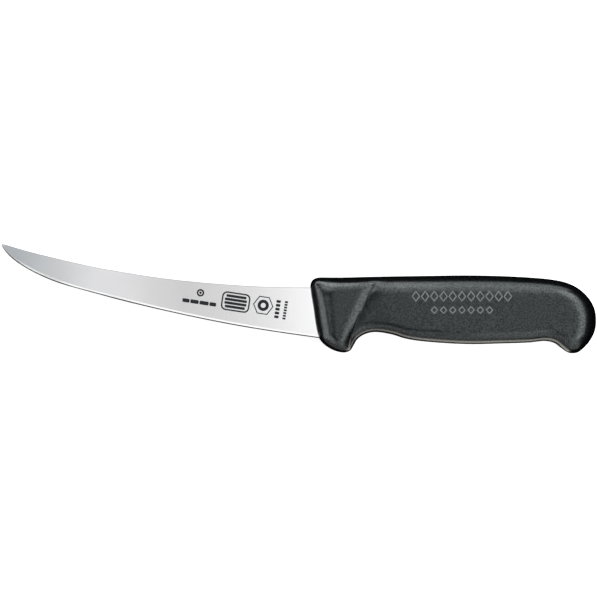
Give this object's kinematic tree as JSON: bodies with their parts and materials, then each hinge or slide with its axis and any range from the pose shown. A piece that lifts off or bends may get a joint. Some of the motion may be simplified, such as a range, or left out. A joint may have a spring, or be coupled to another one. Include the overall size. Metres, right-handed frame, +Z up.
{
  "type": "boning knife",
  "caption": "Curved boning knife: a slim ground steel blade that sweeps up to its point, in a rounded moulded handle with a finger guard and a hooked butt.",
  "frame": {"origin": "middle of the bounding box's bottom, as the knife lies on its side", "axes": "+X from the tip to the butt, +Y from the cutting edge to the spine, +Z up from the surface the knife lies on; the blade's mid-plane is at z = 10 mm"},
  "size_m": [0.283, 0.0522, 0.02],
  "materials": {
    "blade_steel": "fine satin grind",
    "core_plastic": "as moulded, hidden",
    "grip_plastic": "fine pebbled non-slip texture"
  },
  "bodies": {
    "root": {"blade": "blade_steel", "handle_core": "core_plastic", "handle_grip": "grip_plastic"}
  },
  "joints": []
}
